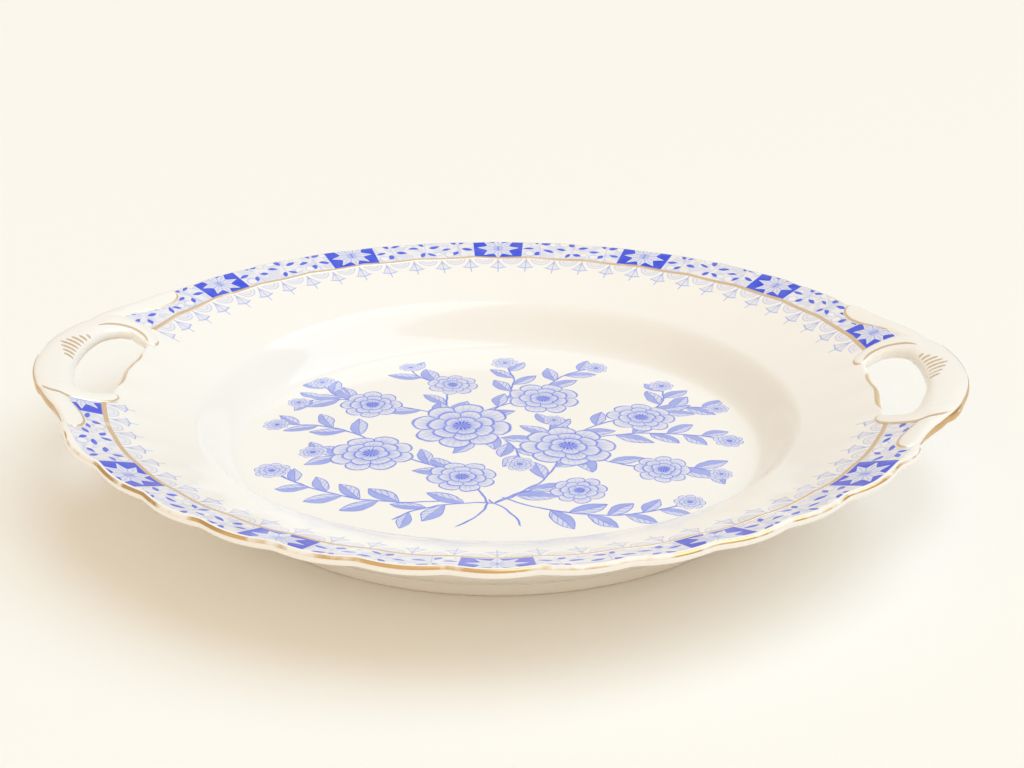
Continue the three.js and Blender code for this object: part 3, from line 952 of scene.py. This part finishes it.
def leafInk(finish, x, y):
    # pointed oval with a midrib, slanted veins, an outline and one darker half
    ink = spray["ink"]
    depth = 1 - x * x - abs(y)
    veins = finish.edge(0.12 - finish.math("PINGPONG", x * 2.5 - abs(y) * 1.6, 0.5), 0.12)
    midrib = finish.edge(0.1 - abs(y), 0.08)
    outline = finish.edge(0.14 - depth, 0.1)
    shade = ink["leaf"] + finish.edge(y, 0.4) * ink["darkHalf"]
    inner = finish.most(veins * ink["vein"], midrib * ink["midrib"])
    drawn = finish.most(outline * ink["outline"], inner)
    return finish.edge(depth, 0.1), finish.most(shade, drawn)


def blossomInk(finish, x, y):
    # rings of scalloped petals, darker where one lies behind the next, and a dotted heart
    ink = spray["ink"]
    reach = finish.length(finish.join(x, y))
    turn = finish.math("ARCTAN2", y, x)
    cover, tone = None, None
    for petals, size, phase in spray["petals"]:
        swell = abs(finish.math("COSINE", turn * (petals / 2) + phase))
        depth = size * (0.78 + finish.math("SQRT", swell) * 0.22) - reach
        inside = finish.edge(depth, 0.04)
        streak = finish.edge(0.1 - finish.math("PINGPONG", turn * (petals * 2.5 / pi), 0.5), 0.16)
        lines = finish.most(finish.edge(0.035 - abs(depth - 0.02), 0.04),
                            finish.edge(0.12 - swell, 0.1) * finish.edge(0.28 - depth, 0.05))
        shade = ink["petal"] + finish.math("MULTIPLY", depth, 1.5 / size, clamp=True) * ink["petalDepth"]
        ring = finish.most(shade + streak * ink["streak"], lines * ink["petalLine"])
        cover = inside if cover is None else cover
        tone = ring if tone is None else finish.mixValue(inside, tone, ring)
    spokes = finish.edge(0.3 - finish.math("PINGPONG", turn * (6 / pi), 0.5), 0.2)
    dots = spokes * finish.edge(0.2 - reach, 0.04)
    return cover, finish.most(tone, dots * ink["dot"])


def stemArc(x, y, toX, toY, bow):
    # circle through both ends of a stem: middle, radius, direction of the bow and half the angle it spans
    chord = math.hypot(toX - x, toY - y)
    sag = abs(bow) * chord
    radius = (chord * chord / 4 + sag * sag) / (2 * sag)
    across = math.atan2(toY - y, toX - x) + math.copysign(pi / 2, bow)
    middleX = (x + toX) / 2 - (radius - sag) * math.cos(across)
    middleY = (y + toY) / 2 - (radius - sag) * math.sin(across)
    return middleX, middleY, radius, across, math.asin(chord / 2 / radius)


def stemLeaves(x, y, toX, toY, bow, count):
    # leaves left and right of a stem by turns, smaller towards its tip
    middleX, middleY, radius, across, half = stemArc(x, y, toX, toY, bow)
    onward = -math.copysign(1, bow)
    leaves = []
    for i, share in enumerate(np.linspace(*spray["leafSpan"], count)):
        angle = across - onward * half * (1 - 2 * share)
        side = 1 if i % 2 else -1
        size = np.interp(share, (0, 1), spray["leafSizes"])
        turn = angle + onward * pi / 2 + side * spray["leafTurn"]
        reach = spray["leafLength"] * size
        leafX = middleX + radius * math.cos(angle) + reach * math.cos(turn)
        leafY = middleY + radius * math.sin(angle) + reach * math.sin(turn)
        leaves.append((leafX, leafY, turn, reach, spray["leafWidth"] * size))
    return leaves


def makeFloorPrint(quarter):
    # one quarter of a loose bunch: the stems, then the leaves, then the blossoms that reach into it
    turn = -quarter * 2 * pi / quarters

    def inQuarter(mark):
        x, y, reach = mark[0], mark[1], mark[3]
        acrossX = x * math.cos(turn) - y * math.sin(turn)
        acrossY = x * math.sin(turn) + y * math.cos(turn)
        return acrossX > -reach and acrossY > -reach

    finish = Finish("printed_floor_" + str(quarter))
    scatter = finish.noise(spray["wanderScale"], out="Color")
    wander = finish.vector("SUBTRACT", scatter, (0.5, 0.5, 0.5))
    flat = finish.vector("MULTIPLY", finish.where(), (1 / mm, 1 / mm, 0))
    flat = finish.vector("MULTIPLY_ADD", wander, (spray["wander"], spray["wander"], 0), flat)
    leaves = []
    blossoms = [(x, y, 0.4 * x, radius, radius * spray["squash"]) for x, y, radius in spray["blossoms"]]
    stems = finish.math("MULTIPLY", finish.split(flat)[0], 0)
    for x, y, toX, toY, bow, count, radius in spray["stems"]:
        leaves += stemLeaves(x, y, toX, toY, bow, count)
        if radius:
            blossoms.append((toX, toY, toX, radius, radius * spray["squash"]))
        middleX, middleY, bend, across, half = stemArc(x, y, toX, toY, bow)
        if inQuarter((toX, toY, 0, radius)) or inQuarter((x, y, 0, radius)):
            local = finish.place(flat, middleX, middleY, across, bend, bend)
            onArc = finish.edge(spray["stemHalf"] / bend - abs(finish.length(local) - 1), 0.3 / bend)
            stem = onArc * finish.edge(finish.split(local)[0] - math.cos(half), 0.01)
            stems = finish.most(stems, stem)
    ink = stems * spray["ink"]["stem"]
    for marks, drawMark in ((leaves, leafInk), (blossoms, blossomInk)):
        cover, tone = drawMark(finish, *nearestMark(finish, flat, list(filter(inQuarter, marks))))
        ink = finish.mixValue(cover, ink, tone)
    ink = patchy(finish, ink, *spray["patches"])
    return finish.surface(glazeSockets(finish, inkOn(finish, ink)))


# Camera, from the photograph's viewing angle

camera = {
    "azimuth": radians(3.6),
    "elevation": radians(24.96),
    "distance": 529.5,
    "aim": (4.5, 10.8, 23.1),
    "lens": 59.2,
    "roll": radians(0.2),
}


def makeCamera():
    spin = Matrix.Rotation(camera["azimuth"], 3, "Z")
    level = camera["distance"] * math.cos(camera["elevation"])
    stand = spin @ Vector((0, -level, camera["distance"] * math.sin(camera["elevation"])))
    aim = spin @ Vector(camera["aim"])
    data = bpy.data.cameras.new("camera")
    data.lens = camera["lens"]
    data.sensor_width = 36.0
    data.clip_start = 0.01
    eye = addObject("camera", data)
    eye.location = stand * mm
    facing = (aim - stand).to_track_quat("-Z", "Y").to_matrix() @ Matrix.Rotation(camera["roll"], 3, "Z")
    eye.rotation_euler = facing.to_euler()
    bpy.context.scene.camera = eye


# Floor and light

stage = {
    "floor": colour(252, 249, 244),
    "floorRoughness": 0.7,
    "size": 6.0,
    "world": (1.0, 0.86, 0.68, 1.0),
    "worldStrength": 0.665,
    "key": {"colour": (0.53, 0.77, 1.0), "strength": 1.52, "spread": radians(60),
            "from": (0.62, 0.08, 1.2)},
    "fill": {"colour": (1.0, 0.86, 0.66), "strength": 0.58, "spread": radians(110),
             "from": (-0.14, -0.74, 0.66)},
}


def makeStage():
    finish = Finish("pale_floor")
    material = finish.surface({"Base Color": stage["floor"], "Roughness": stage["floorRoughness"]})
    half = stage["size"] / mm / 2
    corners = [(-half, -half, 0), (half, -half, 0), (half, half, 0), (-half, half, 0)]
    floor = newPiece("floor", corners, [(0, 1, 2, 3)], [material])
    world = bpy.data.worlds.new("studio")
    world.use_nodes = True
    background = world.node_tree.nodes["Background"]
    background.inputs["Color"].default_value = stage["world"]
    background.inputs["Strength"].default_value = stage["worldStrength"]
    bpy.context.scene.world = world
    for name in ("key", "fill"):
        light = stage[name]
        lamp = bpy.data.lights.new(name, "SUN")
        lamp.energy = light["strength"]
        lamp.angle = light["spread"]
        lamp.color = light["colour"]
        source = addObject(name, lamp)
        source.location = light["from"]
        source.rotation_euler = (-Vector(light["from"])).to_track_quat("-Z", "Y").to_euler()
    bpy.context.scene.view_settings.view_transform = "Standard"


makeCamera()
makeStage()
print("camera, floor and light set")

glaze = makeGlaze()
# the edge and outer golds carry painted shade, the line gold painted light
edgeGoldPaintedShade, lineGoldPaintedLight, outerGoldPaintedShade = [makeGold(name) for name in golds]
dishBody = makeDishBody(glaze, makeRimPrint(), [makeFloorPrint(i) for i in range(quarters)])
settle(dishBody, "glazed_china", "dish_body")
footRing = makeFootRing(makeFootFinish())
settle(footRing, "bare_china", "foot_ring")
print("plate and foot ring made:", len(dishBody.data.polygons), "and", len(footRing.data.polygons), "faces")

for place, start in (("back", 0), ("front", pi)):
    span = np.linspace(start + gilding["edgeEnd"], start + pi - gilding["edgeEnd"], gilding["steps"])
    edge = gildedLip("edge_gold_painted_shade_" + place, span, gilding["edgeFrom"], gilding["edgeTo"], edgeGoldPaintedShade)
    settle(edge, "gilding", "edge_gilding_" + place)
    lineStart = start + gilding["lineEnd"] - (border["rightBackLess"] if place == "back" else 0)
    span = np.linspace(lineStart, start + pi - gilding["lineEnd"], gilding["steps"])
    line = gildedRing("border_gold_" + place, span, lineGoldPaintedLight)
    settle(line, "gilding", "border_gold_line_" + place)
print("rim gilded")

for place, side in (("right", 1), ("left", -1)):
    grip = makeHandle("handle_china_" + place, side, glaze)
    settle(grip, "glazed_china", "handle_" + place)
    strokes = makeHandleGilding("handle_gold_" + place, side, grip, [lineGoldPaintedLight, outerGoldPaintedShade])
    settle(strokes, "gilding", "handle_gold_line_" + place)
    lean = plate["gapLean"][side] / plate["notchX"]
    span = np.linspace(lean - gilding["gapHalf"], lean + gilding["gapHalf"], gilding["gapSteps"])
    gap = gildedLip("finger_gap_gold_" + place, span if side > 0 else pi - span,
                    gilding["gapFrom"], gilding["gapTo"], lineGoldPaintedLight)
    settle(gap, "gilding", "finger_gap_gold_line_" + place)
    print("handle made:", place, len(grip.data.polygons), "faces")
